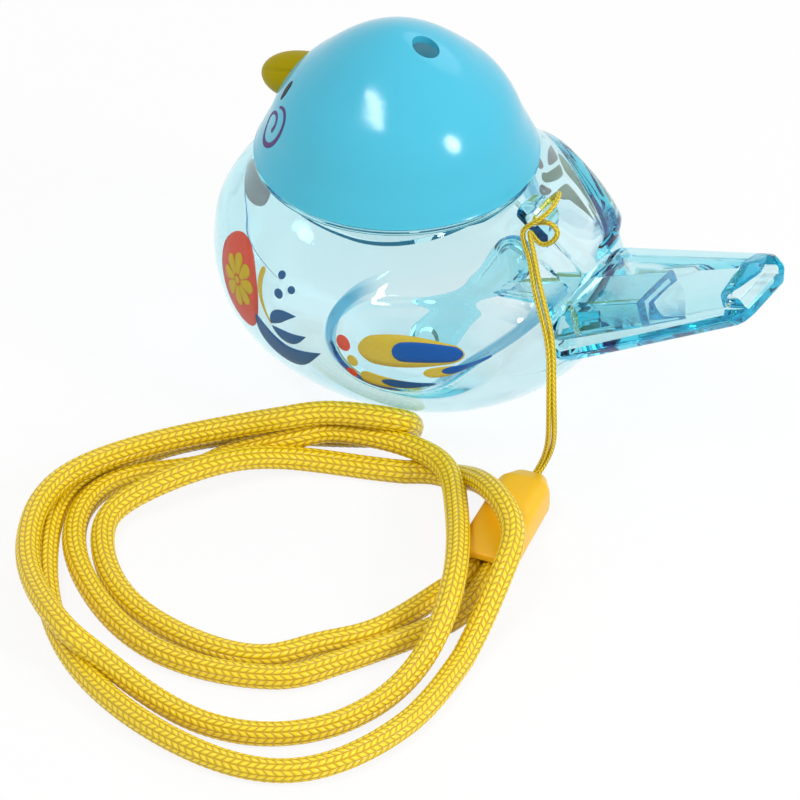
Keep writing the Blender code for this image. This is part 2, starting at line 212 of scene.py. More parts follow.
def seen_straight(tree):
    """1 for rays from the camera and for those mirrored or bent by clear plastic, 0 for soft light."""
    path = node(tree, "ShaderNodeLightPath")
    seen = path.outputs["Is Camera Ray"]
    for ray in ("Is Glossy Ray", "Is Transmission Ray"):
        seen = node(tree, "ShaderNodeMath", {0: seen, 1: path.outputs[ray]}, operation="MAXIMUM").outputs[0]
    return seen


ROOM_LIGHT = 0.54  # soft light of the room, which still looks white
TABLE_LIFT = 0.88  # share of white where the table is seen


def light_the_scene():
    """White room, two round soft lamps whose glints show on the cap, a wide one behind, and the table."""
    world = bpy.data.worlds.new("studio")
    bpy.context.scene.world = world
    world.use_nodes = True
    tree = world.node_tree
    tree.nodes.clear()
    strength = node(tree, "ShaderNodeMapRange", {
        "Value": seen_straight(tree), "To Min": ROOM_LIGHT, "To Max": 1.0})
    back = node(tree, "ShaderNodeBackground", {"Color": (1, 1, 1, 1), "Strength": strength.outputs[0]})
    node(tree, "ShaderNodeOutputWorld", {"Surface": back.outputs[0]})

    aim = Vector((0, 0, 0.03))  # middle of the whistle
    for name, place, wide, tall, power in (
            ("key", (-0.133, -0.465, 0.858), 0.44, 0.11, 2.5),
            ("fill", (0.732, -0.031, 0.458), 0.16, 0.28, 2.8),
            ("back", (0.1, 0.6, 0.6), 0.6, 0.6, 1.1)):
        lamp = bpy.data.lights.new(name, "AREA")
        lamp.shape = "ELLIPSE"
        lamp.size = wide
        lamp.size_y = tall
        lamp.energy = power
        obj = bpy.data.objects.new(name, lamp)
        bpy.context.collection.objects.link(obj)
        obj.location = place
        obj.rotation_mode = "QUATERNION"
        obj.rotation_quaternion = (Vector(place) - aim).to_track_quat("Z", "Y")

    # white matt table, lifted towards white where it is seen and left to take soft shadows
    mat, tree, out = new_material("pale_table")
    lifted = node(tree, "ShaderNodeMath", {0: seen_straight(tree), 1: TABLE_LIFT}, operation="MULTIPLY")
    matte = node(tree, "ShaderNodeBsdfDiffuse", {"Color": lin("F4F4F3")})
    glow = node(tree, "ShaderNodeEmission", {"Color": (1, 1, 1, 1), "Strength": 1.0})
    both = node(tree, "ShaderNodeMixShader", {0: lifted.outputs[0], 1: matte.outputs[0], 2: glow.outputs[0]})
    tree.links.new(both.outputs[0], out.inputs["Surface"])
    deselect()
    bpy.ops.mesh.primitive_plane_add(size=8, location=(0, 0, 0))
    floor = bpy.context.object
    floor.name = "floor"
    floor.data.materials.append(mat)
    settle(floor)


light_the_scene()


# Materials

def clear_plastic(name, tint=1.0):
    """Clear polystyrene, injection moulded and polished, tinted pale blue.

    Smooth enough to mirror the lamps sharply. Its colour deepens with the length of plastic that light
    crosses, so walls look almost white and edges teal. The step round each wing is darkened further by
    painted shade. The shadow stays pale, because light goes through.
    """
    mat, tree, out = new_material(name)
    # painted shade: the step round a wing, where one looks along the wall, is painted a darker teal from 0.15
    # mm outside its outline to 1.9 mm inside, in place of the light lost along the wall
    depth = node(tree, "ShaderNodeAttribute", attribute_name="wing_depth")
    weight = node(tree, "ShaderNodeAttribute", attribute_name="wing_step_painted_shade")
    outer = node(tree, "ShaderNodeMapRange", {
        "Value": depth.outputs["Fac"], "From Min": -0.25, "From Max": -0.05})
    inner = node(tree, "ShaderNodeMapRange", {
        "Value": depth.outputs["Fac"], "From Min": 2.0, "From Max": 1.8})
    painted_step_shade = node(tree, "ShaderNodeMath", {0: outer.outputs[0], 1: inner.outputs[0]}, operation="MULTIPLY")
    painted_step_shade = node(tree, "ShaderNodeMath", {0: painted_step_shade.outputs[0], 1: weight.outputs["Fac"]}, operation="MULTIPLY")
    colour = node(tree, "ShaderNodeMix", {0: painted_step_shade.outputs[0], 6: lin("F6F9FA"), 7: lin("6CB4D0")},
                  data_type="RGBA")
    bsdf = node(tree, "ShaderNodeBsdfPrincipled", {
        "Base Color": colour.outputs[2], "Roughness": 0.0, "IOR": 1.4, "Transmission Weight": 1.0})
    path = node(tree, "ShaderNodeLightPath")
    thin = node(tree, "ShaderNodeBsdfTransparent", {"Color": lin("E4F4FA")})
    mix = node(tree, "ShaderNodeMixShader", {
        0: path.outputs["Is Shadow Ray"], 1: bsdf.outputs[0], 2: thin.outputs[0]})
    tree.links.new(mix.outputs[0], out.inputs["Surface"])
    # red is taken up first and green a little, so a long way through the plastic turns teal
    absorb = node(tree, "ShaderNodeVolumeAbsorption", {
        "Color": (0.0, 0.84, 0.935, 1), "Density": 92.0 * tint})
    tree.links.new(absorb.outputs[0], out.inputs["Volume"])
    return mat


PEEL_PER_MM = 0.9  # an orange peel of moulded plastic, one dimple each 1.1 mm
COLOUR_DRIFT = 25.0  # mm from one slightly darker cloud of pigment to the next
SPECKS_PER_MM = 2.2  # pores of printed ink; real ones of 0.1 mm are too fine to show, so drawn coarser


def moulded_plastic(name, code, rough, shine, subsurface=0.0):
    """Opaque injection-moulded plastic: even colour under a soft gloss, broken a little by an orange peel.

    Its colour drifts by a few hundredths, as the mixing of the pigment leaves it.
    """
    mat, tree, out = new_material(name)
    coord = node(tree, "ShaderNodeTexCoord")
    peel = node(tree, "ShaderNodeTexNoise", {
        "Vector": coord.outputs["Object"], "Scale": PEEL_PER_MM / MM, "Detail": 2.0})
    drift = node(tree, "ShaderNodeTexNoise", {
        "Vector": coord.outputs["Object"], "Scale": 1 / (COLOUR_DRIFT * MM), "Detail": 1.0})
    bump = node(tree, "ShaderNodeBump", {"Strength": 0.03, "Distance": 0.3 * MM, "Height": peel.outputs[0]})
    base = lin(code)
    dark = tuple(c * 0.93 for c in base[:3]) + (1,)
    colour = node(tree, "ShaderNodeMix", {0: drift.outputs[0], 6: dark, 7: base}, data_type="RGBA")
    bsdf = node(tree, "ShaderNodeBsdfPrincipled", {
        "Base Color": colour.outputs[2], "Roughness": rough, "IOR": 1.5, "Specular IOR Level": shine,
        "Normal": bump.outputs[0], "Subsurface Weight": subsurface, "Subsurface Scale": 2 * MM})
    tree.links.new(bsdf.outputs[0], out.inputs["Surface"])
    return mat


def ink(name, code, thin=0.1):
    """Pad-printed ink: flat and half matt, with darker specks where it took unevenly.

    thin: share of light that gets through the film, so that a print on a clear wall glows from behind.
    """
    mat, tree, out = new_material(name)
    coord = node(tree, "ShaderNodeTexCoord")
    speck = node(tree, "ShaderNodeTexNoise", {
        "Vector": coord.outputs["Object"], "Scale": SPECKS_PER_MM / MM, "Detail": 1.0})
    base = lin(code)
    dark = tuple(c * 0.8 for c in base[:3]) + (1,)
    colour = node(tree, "ShaderNodeMix", {0: speck.outputs[0], 6: dark, 7: base}, data_type="RGBA")
    bsdf = node(tree, "ShaderNodeBsdfPrincipled", {
        "Base Color": colour.outputs[2], "Roughness": 0.45, "Specular IOR Level": 0.25})
    through = node(tree, "ShaderNodeBsdfTranslucent", {"Color": colour.outputs[2]})
    both = node(tree, "ShaderNodeMixShader", {0: thin, 1: bsdf.outputs[0], 2: through.outputs[0]})
    gap = node(tree, "ShaderNodeBsdfTransparent", {"Color": (1, 1, 1, 1)})
    film = node(tree, "ShaderNodeMixShader", {0: thin * 0.8, 1: both.outputs[0], 2: gap.outputs[0]})
    tree.links.new(film.outputs[0], out.inputs["Surface"])
    return mat


CLEAR_BODY = clear_plastic("clear_polystyrene_body")
CLEAR_INSERT = clear_plastic("clear_polystyrene_insert", 2.2)  # tinted deeper, to show through the wall
# from a polished mould: it mirrors the lamps as small bright ovals
CAP_PLASTIC = moulded_plastic("turquoise_abs", "46C0DE", 0.155, shine=0.42)
# from a dull mould: an even tone without a highlight
BEAK_PLASTIC = moulded_plastic("mustard_abs", "AE9C00", 0.42, shine=0.08)
# waxy and a little see-through, so its shaded side glows
CONNECTOR_PLASTIC = moulded_plastic("amber_polypropylene", "FFC41A", 0.36, shine=0.35, subsurface=0.35)
INKS = {
    "red": ink("ink_red", "E54A24"),
    "mustard": ink("ink_mustard", "DCC024"),
    "navy": ink("ink_navy", "145A98"),
    "blue": ink("ink_blue", "0660BC"),
    "plum": ink("ink_plum", "643F82"),
    "black": ink("ink_black", "101014", 0.0),
}
# the side of a print that shows through the clear wall: paler than its front
UNDERCOAT = ink("ink_white_undercoat", "FFFFFF", 0.6)

FILAMENTS_PER_MM = 9.0  # real ones of 0.02 mm are too fine to show, so drawn as streaks 0.11 mm wide


def braid(name, columns, pitch, lean, bright, dull):
    """Braided polyester yarn: chevrons of shiny bundles of filaments, with painted shade darkening the gaps
    between them.

    columns: yarns round the cord; pitch: mm along it from stitch to stitch; lean: how much of a stitch a yarn
    climbs across its column. bright: colour of the yarns' tops; dull: the painted shade in the gaps.
    """
    mat, tree, out = new_material(name)
    uv = node(tree, "ShaderNodeUVMap", uv_map="cord")
    parts = node(tree, "ShaderNodeSeparateXYZ", {0: uv.outputs[0]})

    def maths(op, *values):
        return node(tree, "ShaderNodeMath", enumerate(values), operation=op).outputs[0]

    column = maths("MULTIPLY", parts.outputs[0], float(columns))
    inside = maths("SUBTRACT", maths("FRACT", column), 0.5)
    side = maths("SUBTRACT", maths("MULTIPLY", maths("MODULO", maths("FLOOR", column), 2.0), 2.0), 1.0)
    phase = maths("ADD", maths("DIVIDE", parts.outputs[1], pitch),
                  maths("MULTIPLY", maths("MULTIPLY", inside, side), lean))
    stitch = maths("ABSOLUTE", maths("SINE", maths("MULTIPLY", phase, math.pi)))
    across = maths("SUBTRACT", 1.0, maths("POWER", maths("ABSOLUTE", maths("MULTIPLY", inside, 2.0)), 3.0))
    height = maths("MULTIPLY", maths("POWER", stitch, 0.6), across)
    fibre = node(tree, "ShaderNodeTexNoise", {
        "Vector": uv.outputs[0], "Scale": FILAMENTS_PER_MM, "Detail": 3.0})
    bump = node(tree, "ShaderNodeBump", {"Strength": 1.0, "Distance": 0.16 * MM, "Height": height})
    # painted shade: the colour runs from bright on the yarns' tops to dull down in the gaps, with random
    # streaks of filaments over it
    fibre_tone_and_painted_shade = maths("MULTIPLY_ADD", fibre.outputs[0], 0.5, maths("MULTIPLY_ADD", height, 1.15, -0.3))
    colour = node(tree, "ShaderNodeMix", {0: fibre_tone_and_painted_shade, 6: lin(dull), 7: lin(bright)}, data_type="RGBA",
                  clamp_factor=True)
    bsdf = node(tree, "ShaderNodeBsdfPrincipled", {
        "Base Color": colour.outputs[2], "Roughness": 0.24, "Normal": bump.outputs[0],
        "Specular IOR Level": 0.5})
    tree.links.new(bsdf.outputs[0], out.inputs["Surface"])
    return mat


# yarns round the cord, mm from stitch to stitch, lean: the yarns are 1 mm wide on the neck cord and 0.7 mm
# on the thin one
NECK_WEAVE = (12, 1.25, 0.65)
THIN_WEAVE = (4, 0.75, 1.2)
# bright yarn colour, then the painted shade of the gaps between yarns
NECK_BRAID = braid("braided_polyester_cord", *NECK_WEAVE, "FFE420", "D09E08")
THIN_BRAID = braid("braided_polyester_thread", *THIN_WEAVE, "FFE42C", "B89600")


# Cords

NECK_CORD, THIN_CORD = 3.8, 0.86  # diameters, mm
TABLE_GAP = 0.02  # under a cord that lies on the table
NECK_RELIEF, THIN_RELIEF = 0.12, 0.06  # how far the yarns stand proud

# Route of the neck cord, mm, as it lies on the table
NECK_ROUTE = [
    (39.9, -44.1, 3.5), (40.6, -49.6, 3.3), (38.9, -53.6, 2.3), (34.5, -66.9, 2.0), (28.6, -74.2, 2.0),
    (22.4, -81.1, 2.0), (5.1, -81.9, 2.0), (-7.9, -75.4, 2.0), (-14.8, -66.7, 2.2), (-15.6, -60.3, 3.0),
    (-8.8, -48.4, 4.8), (-1.0, -38.0, 3.4), (10.8, -31.8, 2.0), (17.6, -29.5, 2.0), (24.3, -26.8, 2.0),
    (36.8, -34.6, 9.3), (45.5, -42.8, 10.1), (48.2, -51.0, 8.0), (49.5, -64.2, 2.3), (50.1, -83.8, 2.0),
    (41.4, -101.7, 2.0), (22.4, -105.0, 2.0), (-3.3, -94.9, 2.0), (-19.5, -76.0, 2.0), (-25.0, -62.7, 2.0),
    (-23.8, -53.3, 2.0), (-14.6, -37.8, 2.0), (-1.3, -28.9, 2.0), (10.7, -22.4, 2.0), (13.7, -20.4, 2.6),
    (15.5, -22.4, 5.9), (14.4, -25.6, 8.6), (4.9, -29.9, 9.2), (-0.5, -33.6, 8.7), (-8.1, -37.5, 6.6),
    (-24.5, -59.7, 5.8), (-22.8, -75.6, 5.0), (-14.7, -86.7, 5.4), (-2.9, -95.2, 6.3), (2.5, -95.8, 4.4),
    (22.0, -99.1, 2.0), (39.0, -91.8, 2.0), (45.3, -73.8, 3.0), (43.5, -58.1, 8.6), (32.2, -37.3, 6.8),
    (21.9, -27.5, 5.6), (5.6, -29.0, 5.2), (1.1, -32.8, 5.0), (-7.9, -38.9, 2.0), (-10.6, -44.4, 2.0),
    (-19.9, -54.1, 2.0), (-19.5, -67.4, 2.0), (-9.1, -79.6, 2.0), (9.7, -87.9, 2.0), (27.8, -83.8, 2.0),
    (33.3, -77.0, 2.0), (43.5, -58.2, 2.0), (44.4, -50.6, 3.2), (43.3, -43.5, 3.5),
]

# Route of the thin cord, mm: up from the connector, through the lug, and back down beside itself
THIN_ROUTE = [
    (38.3, -24.6, 3.5), (38.2, -22.8, 3.6), (38.9, -21.0, 5.6), (40.2, -20.6, 9.5), (40.7, -20.9, 14.0),
    (40.1, -20.1, 18.8), (39.0, -18.3, 23.2), (37.0, -15.6, 27.2), (32.5, -11.2, 32.1), (29.2, -7.4, 34.9),
    (27.0, -4.6, 36.6),
    (28.3, -4.2, 34.9), (30.3, -4.0, 35.4), (31.2, -3.4, 37.4), (29.2, -2.9, 38.2), (26.8, -2.4, 37.1),
    (25.7, 0.0, 36.8), (25.9, 2.5, 37.3), (27.3, 2.8, 39.3), (28.9, 1.2, 41.1), (29.5, -1.2, 41.0),
    (28.9, -3.2, 39.8), (27.2, -4.3, 38.2), (25.9, -5.0, 36.5), (28.5, -7.8, 34.3), (31.7, -11.6, 31.6),
    (36.3, -16.0, 26.8), (38.4, -18.7, 22.7), (39.5, -20.65, 18.3), (40.0, -21.5, 13.7), (39.5, -21.3, 9.3),
    (38.3, -21.5, 5.5), (37.6, -22.9, 3.7), (37.5, -24.6, 3.5),
]


def route_line(route, step, lowest):
    """Even points, mm, along a smooth curve through a route, none under the lowest height, and its length."""
    knots = [0.0]
    for a, b in zip(route, route[1:]):
        knots.append(knots[-1] + math.sqrt((Vector(b) - Vector(a)).length))
    axes = [spline(knots, [p[i] for p in route]) for i in range(3)]
    count = 40 * len(route)
    fine = [Vector([f(knots[-1] * i / count) for f in axes]) for i in range(count + 1)]
    for p in fine:
        p.z = max(p.z, lowest)
    out, left, total = [fine[0]], step, 0.0
    for a, b in zip(fine, fine[1:]):
        gap = (b - a).length
        total += gap
        while left < gap:
            out.append(a.lerp(b, left / gap))
            left += step
        left -= gap
    out.append(fine[-1])
    return out, total


def tube_along(name, line, radius, sides, relief):
    """Closed tube along a line of points in mm, with turn and length in the map named cord."""
    mesh = bpy.data.meshes.new(name)
    bm = bmesh.new()
    uv = bm.loops.layers.uv.new("cord")
    normal = None
    rings, lengths = [], [0.0]
    for i, p in enumerate(line):
        ahead = (line[min(i + 1, len(line) - 1)] - line[max(i - 1, 0)]).normalized()
        if normal is None:
            normal = ahead.cross(Vector((0, 0, 1))).normalized()
        normal = (normal - ahead * normal.dot(ahead)).normalized()
        other = ahead.cross(normal)
        if i:
            lengths.append(lengths[-1] + (p - line[i - 1]).length)
        ring = []
        for k in range(sides):
            a = 2 * math.pi * k / sides
            r = radius + relief(k / sides, lengths[-1])
            ring.append(bm.verts.new(at(*(p + (normal * math.cos(a) + other * math.sin(a)) * r))))
        rings.append(ring)
    for i in range(len(rings) - 1):
        for k in range(sides):
            j = (k + 1) % sides
            face = bm.faces.new((rings[i][k], rings[i][j], rings[i + 1][j], rings[i + 1][k]))
            face.smooth = True
            for loop, (u, v) in zip(face.loops, ((k, i), (k + 1, i), (k + 1, i + 1), (k, i + 1))):
                loop[uv].uv = (u / sides, lengths[v])
    for ring in (list(reversed(rings[0])), rings[-1]):
        bm.faces.new(ring)
    bmesh.ops.recalc_face_normals(bm, faces=bm.faces)
    bm.to_mesh(mesh)
    bm.free()
    obj = bpy.data.objects.new(name, mesh)
    bpy.context.collection.objects.link(obj)
    return obj


def chevron(columns, pitch, lean, depth):
    """Height of the braid's yarns over the cord's core, by turn and length, as the material draws it."""
    def height(turn, length):
        column = turn * columns
        inside = column - math.floor(column) - 0.5
        side = 1 if math.floor(column) % 2 else -1
        stitch = abs(math.sin(math.pi * (length / pitch + inside * side * lean)))
        return depth * (stitch ** 0.6 * (1 - abs(2 * inside) ** 3) - 0.7)
    return height


def make_cords():
    """Both cords with the yarns of their braid raised, and the line and length of each."""
    step, sides = ((0.4, 48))
    line, length = route_line(NECK_ROUTE, step, NECK_CORD / 2 + TABLE_GAP)
    neck = tube_along("neck_cord_braid", line, NECK_CORD / 2, sides, chevron(*NECK_WEAVE, NECK_RELIEF))
    finish_piece(neck, "neck_cord_braid", NECK_BRAID, "neck_cord_yellow", "neck_cord")
    thin_line, thin_length = route_line(THIN_ROUTE, 0.25, THIN_CORD / 2 + TABLE_GAP)
    thin = tube_along("hanger_thread", thin_line, THIN_CORD / 2, 12, chevron(*THIN_WEAVE, THIN_RELIEF))
    finish_piece(thin, "hanger_thread", THIN_BRAID, "thin_cord_yellow", "hanger_cord")
    print("cord lengths mm", round(length, 1), round(thin_length, 1))
    return neck, line, length, thin, thin_line, thin_length


neck_cord, neck_line, neck_length, thin_cord, thin_line, thin_length = make_cords()


# Clear body

BELLY_Z, TOP_Z = 23.0, 39.0  # heights of the widest place and of the shoulder's top
BODY_MID = 4.4  # middle of the belly behind the neck's axis
FORE_REACH, REAR_REACH, SIDE_REACH = 34.5, 33.6, 29.7
BELLY_DEPTH = BELLY_Z + 0.35  # the lowest 0.35 mm are cut flat to stand on
WALL, TAIL_WALL = 1.7, 1.8
NECK_THICKER = 0.11  # mm more wall for each mm above the widest place
SEAM_DEPTH = 0.2
WING_HEIGHT = 1.3

SHARE_HEIGHTS = [-8, -5.3, -3, 0, 3, 5.3, 8, 10.5, 13.5, 17.5, 20]  # over the widest place
rear_share = spline(SHARE_HEIGHTS, [.785, .902, .97, 1, .97, .902, .785, .675, .554, .44, .40])
fore_share = spline(SHARE_HEIGHTS, [.945, .98, .993, 1, .993, .98, .945, .90, .83, .73, .66])


def share(z, curve, power):
    """Part of the body's full reach that it has at height z."""
    if z >= BELLY_Z:
        return curve(z - BELLY_Z)
    return (1 - ((BELLY_Z - z) / BELLY_DEPTH) ** power) ** (1 / power)


def body_point(turn, z, inset=0.0):
    """Point of the body's wall, without its wings, at an angle from the tail and a height."""
    fore = FORE_REACH * share(z, fore_share, 2.45) - inset
    rear = REAR_REACH * share(z, rear_share, 2.1) - inset
    side = SIDE_REACH * share(z, fore_share, 2.12) - inset
    reach = rear if math.cos(turn) > 0 else fore
    return Vector((BODY_MID + reach * math.cos(turn), side * math.sin(turn), z))


def body_normal(turn, z):
    """Direction straight out of the wall there."""
    a = body_point(turn + 0.01, z) - body_point(turn - 0.01, z)
    z0, z1 = max(z - 0.2, 0.0), min(z + 0.2, 40)
    b = body_point(turn, z1) - body_point(turn, z0)
    return a.cross(b).normalized()


# Outline of a wing, seen from the side
WING_CORNERS = [
    (4.0, 24.0), (4.4, 27.6), (6.0, 30.6), (8.4, 32.9), (12.0, 34.4), (16.6, 34.8), (21.0, 34.2),
    (25.0, 33.2), (29.0, 31.4), (33.2, 29.2), (34.0, 28.0), (33.4, 26.6), (30.6, 24.4), (27.4, 22.2),
    (24.4, 19.2), (21.6, 16.6), (18.0, 15.3), (14.0, 15.2), (10.2, 16.2), (7.2, 18.0), (5.0, 20.6),
]


def rounded(points):
    """Closed outline with its corners cut twice, at a quarter of each side."""
    for _ in range(2):
        out = []
        for i, p in enumerate(points):
            q = points[(i + 1) % len(points)]
            for near, far in ((.75, .25), (.25, .75)):
                out.append((p[0] * near + q[0] * far, p[1] * near + q[1] * far))
        points = out
    return points


WING = rounded(WING_CORNERS)


def depth_inside(x, z, outline):
    """Distance of a point inside an outline; negative outside."""
    best, inside = 1e9, False
    n = len(outline)
    for i in range(n):
        ax, az = outline[i]
        bx, bz = outline[(i + 1) % n]
        dx, dz = bx - ax, bz - az
        t = clamp(((x - ax) * dx + (z - az) * dz) / (dx * dx + dz * dz))
        best = min(best, (x - ax - t * dx) ** 2 + (z - az - t * dz) ** 2)
        if (az > z) != (bz > z) and x < ax + (z - az) / (bz - az) * dx:
            inside = not inside
    return math.sqrt(best) * (1 if inside else -1)


def wing_raise(p):
    """How far the wing stands proud: steep in front and below, soft along the top."""
    if abs(p.y) < 4 or not 2 < p.x < 36 or not 13 < p.z < 37:
        return 0.0
    d = depth_inside(p.x, p.z, WING)
    if d < -1:
        return 0.0
    top = clamp((p.z - 27) / 5) * clamp((p.x - 5) / 4)
    t = clamp((d + 0.3) / (2.3 + 2.5 * top))
    return WING_HEIGHT * t * t * (3 - 2 * t)


def wing_step_painted_shade(p):
    """Depth inside the wing's outline, and how strongly painted shade darkens the step there: in front, below
    and behind.
    """
    if abs(p.y) < 4 or not 0 < p.x < 38 or not 11 < p.z < 37:
        return -9.0, 0.0
    front = clamp((12 - p.x) / 4) * clamp((34.5 - p.z) / 3) * clamp((p.z - 14.5) / 3)
    rear = clamp((p.x - 20) / 3) * clamp((29.5 - p.z) / 2)
    below = 0.3 * clamp((20 - p.z) / 3)
    return depth_inside(p.x, p.z, WING), max(front, rear * 0.85, below)


def round_solid(name, segments, rings, inset):
    """Sphere pulled to the body's form with its wings, made smaller all round by inset."""
    wall_part = 0.75  # share of the upper half that becomes the wall, the rest closing it flat on top
    flat_starts = math.asin(BELLY_Z / BELLY_DEPTH)
    deselect()
    bpy.ops.mesh.primitive_uv_sphere_add(segments=segments, ring_count=rings, radius=1)
    obj = bpy.context.object
    obj.name = name
    for v in obj.data.vertices:
        turn = math.atan2(v.co.y, v.co.x)
        if math.hypot(v.co.x, v.co.y) < 1e-5:
            turn = 0.0
        lat = math.asin(max(-1.0, min(1.0, v.co.z)))
        s = lat / (math.pi / 2)
        scale = 1.0
        if s < 0:
            z = max(0.0, BELLY_Z - BELLY_DEPTH * math.sin(-lat))
            if z <= 0:
                scale = (math.pi / 2 + lat) / (math.pi / 2 - flat_starts)
        elif s < wall_part:
            z = BELLY_Z + (TOP_Z - BELLY_Z) * s / wall_part
        else:
            z, scale = TOP_Z, (1 - s) / (1 - wall_part)
        if inset:
            floor_z, roof_z = inset + 0.2, TOP_Z - 2.0
            z = floor_z + (roof_z - floor_z) * z / TOP_Z
        p = body_point(turn, z, inset + (NECK_THICKER * max(0.0, z - BELLY_Z) if inset else 0))
        if scale >= 1:
            p += body_normal(turn, z) * wing_raise(p)
            if not inset and z > 1 and abs(math.sin(turn)) < 1e-4:
                # groove of the joint of the two welded halves, running out at the foot
                p -= body_normal(turn, z) * SEAM_DEPTH * clamp((z - 1) / 8)
        mid = Vector((BODY_MID, 0, p.z))
        v.co = at(*(mid + (p - mid) * max(scale, 0.0)))
    return obj


def ring_solid(name, profile, steps=128):
    """Turned solid: a circle extruded and resized ring by ring."""
    r, z = profile[0]
    deselect()
    bpy.ops.mesh.primitive_circle_add(vertices=steps, radius=r * MM, location=at(0, 0, z), fill_type="NGON")
    obj = bpy.context.object
    obj.name = name
    bpy.ops.object.mode_set(mode="EDIT")
    bpy.ops.mesh.select_all(action="SELECT")
    for nr, nz in profile[1:]:
        bpy.ops.mesh.extrude_region_move(TRANSFORM_OT_translate={"value": (0, 0, (nz - z) * MM)})
        k = nr / r
        bpy.ops.transform.resize(value=(k, k, 1), center_override=at(0, 0, nz))
        r, z = nr, nz
    bpy.ops.mesh.select_all(action="SELECT")
    bpy.ops.mesh.normals_make_consistent(inside=False)
    bpy.ops.object.mode_set(mode="OBJECT")
    return obj


def loft(name, rings):
    """Closed solid through equal rings of points in mm."""
    bm = bmesh.new()
    rows = [[bm.verts.new(at(*p)) for p in ring] for ring in rings]
    n = len(rows[0])
    for a, b in zip(rows, rows[1:]):
        for i in range(n):
            bm.faces.new((a[i], a[(i + 1) % n], b[(i + 1) % n], b[i]))
    bm.faces.new(list(reversed(rows[0])))
    bm.faces.new(rows[-1])
    bmesh.ops.recalc_face_normals(bm, faces=bm.faces)
    mesh = bpy.data.meshes.new(name)
    bm.to_mesh(mesh)
    bm.free()
    obj = bpy.data.objects.new(name, mesh)
    bpy.context.collection.objects.link(obj)
    return obj


TAIL_PITCH = math.radians(23.4)
TAIL_LENGTH, LIP_START = 33.0, 30.5
ALONG = Vector((math.cos(TAIL_PITCH), 0, math.sin(TAIL_PITCH)))
UPWARD = Vector((-math.sin(TAIL_PITCH), 0, math.cos(TAIL_PITCH)))
TAIL_ROOT = Vector((34.5, 0, 28.4))


def tail_point(s, y, n):
    """Point s along the tail, y to the side and n over its ridge."""
    return TAIL_ROOT + ALONG * s + Vector((0, y, 0)) + UPWARD * n


def tail_section(s, inset=0.0):
    """Gabled flat section of the tail at distance s from its root, made smaller all round by inset."""
    half = 12 + (12 - max(s, 0)) * 0.18 - (3.0 if s < 0 else 0)
    floor = -(8.9 - 0.054 * s)
    # the end rounds off over its last millimetres
    lip = max(0.0, s - LIP_START) / (TAIL_LENGTH - LIP_START)
    half -= 2.4 * lip ** 2
    drop = 1.7 * lip ** 1.3
    shape = [(0, 0), (half - 3, -1.6), (half - 1, -2.8), (half, -4.5), (half, floor + 1.6),
             (half - 1.5, floor)]
    lift = 0.7 * lip ** 2
    # how far each point of the half section moves when the whole is made smaller
    moves = (-1, -1, -1, -0.3, 0.3, 1)
    side = []
    for (y, n), move in zip(shape, moves):
        if n > -2:
            n -= drop
        if n <= floor + 1.7:
            n += lift
        side.append((max(y - inset * 1.1, 0.0), n + inset * move))
    bottom = (0, floor + lift + inset)
    loop = side + [bottom] + [(-y, n) for y, n in reversed(side[1:])]
    return [tail_point(s, y, n) for y, n in loop]


def tail_box(name, s0, s1, half, n0, n1):
    corners = ((half, n0), (-half, n0), (-half, n1), (half, n1))
    return loft(name, [[tail_point(s, y, n) for y, n in corners] for s in (s0, s1)])


# Stations of the windway from the tail to the tube: x, z, slope in degrees, share of its width
WINDWAY = [(48.0, 28.8, 23.4, 1.0), (40.6, 25.6, 23.4, 1.0), (36.5, 23.9, 16.0, 1.0),
           (30.0, 22.4, 11.0, 0.85), (19.6, 20.6, 9.0, 0.5)]
BLOCK_HALF, BLOCK_THICK = 6.0, 1.3  # half width and half height of the block round it
SLIT_HALF, SLIT_THICK = 4.0, 0.45
SEAT_GAP = 0.3  # between the block and its seat in the tail


def windway(name, push, grow, half, stations, thick):
    """Flat block along the windway, half its width and thick to each side, wider by grow, longer by push."""
    rings = []
    for i, (x, z, tilt, part) in enumerate(stations):
        a = math.radians(tilt)
        on = push if i == 0 else -push if i == len(stations) - 1 else 0
        up = Vector((-math.sin(a), 0, math.cos(a))) * (thick + grow)
        c, w = Vector((x + on, 0, z + on * math.sin(a))), Vector((0, half * part + grow, 0))
        rings.append([c + w - up, c - w - up, c - w + up, c + w + up])
    return loft(name, rings)


def bar(name, a, b, radius, sides):
    """Cylinder between two points of the drawing."""
    a, b = Vector(a), Vector(b)
    deselect()
    bpy.ops.mesh.primitive_cylinder_add(vertices=sides, radius=radius * MM, depth=(b - a).length * MM,
                                        location=at(*((a + b) / 2)))
    obj = bpy.context.object
    obj.name = name
    obj.rotation_mode = "QUATERNION"
    obj.rotation_quaternion = (b - a).to_track_quat("Z", "Y")
    settle(obj)
    return obj


def bevel(obj, width, segments=2):
    """Rounds edges sharper than 40 degrees, width in mm."""
    mod = obj.modifiers.new("bevel", "BEVEL")
    mod.width = width * MM
    mod.segments = segments
    mod.limit_method = "ANGLE"
    mod.angle_limit = math.radians(40)
    apply_all(obj)


LUG = Vector((25.8, 0, 36.6))
LUG_RADIUS, LUG_HOLE, LUG_HALF = 3.1, 1.2, 1.7  # radius, radius of its hole, half its thickness
TUBE_RADIUS, TUBE_BORE = 3.5, 2.3  # both as radii
COLLAR_RADIUS, COLLAR_BORE = 19.5, 17.9


